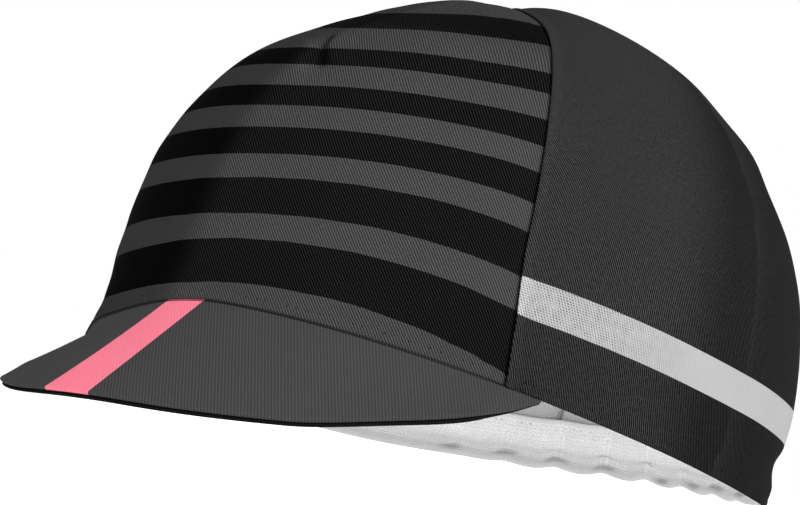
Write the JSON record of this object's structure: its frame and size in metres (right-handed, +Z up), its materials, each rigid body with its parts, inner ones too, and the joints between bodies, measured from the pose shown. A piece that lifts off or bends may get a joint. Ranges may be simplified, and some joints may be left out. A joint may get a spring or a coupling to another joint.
{
  "type": "cycling cap",
  "caption": "Soft cotton cap with a rounded sewn crown, a short curved peak and a sweatband gathered by elastic at the back, open below for the head.",
  "frame": {"origin": "centre of the bounding box's bottom, on the surface that the cap rests on", "axes": "+Z up, -Y the way the cap faces, +X towards the wearer's left"},
  "size_m": [0.1644, 0.2254, 0.1184],
  "materials": {
    "front_panel": "matt cotton twill",
    "left_panel": "matt cotton twill",
    "back_panel": "matt cotton twill",
    "right_panel": "matt cotton twill",
    "sweatband": "soft knitted band",
    "peak_top": "matt ribbed cotton",
    "peak_underside": "matt cotton"
  },
  "bodies": {
    "root": {"front_panel": "front_panel", "left_panel": "left_panel", "back_panel": "back_panel", "right_panel": "right_panel", "sweatband": "sweatband", "peak_top": "peak_top", "peak_underside": "peak_underside"}
  },
  "joints": []
}
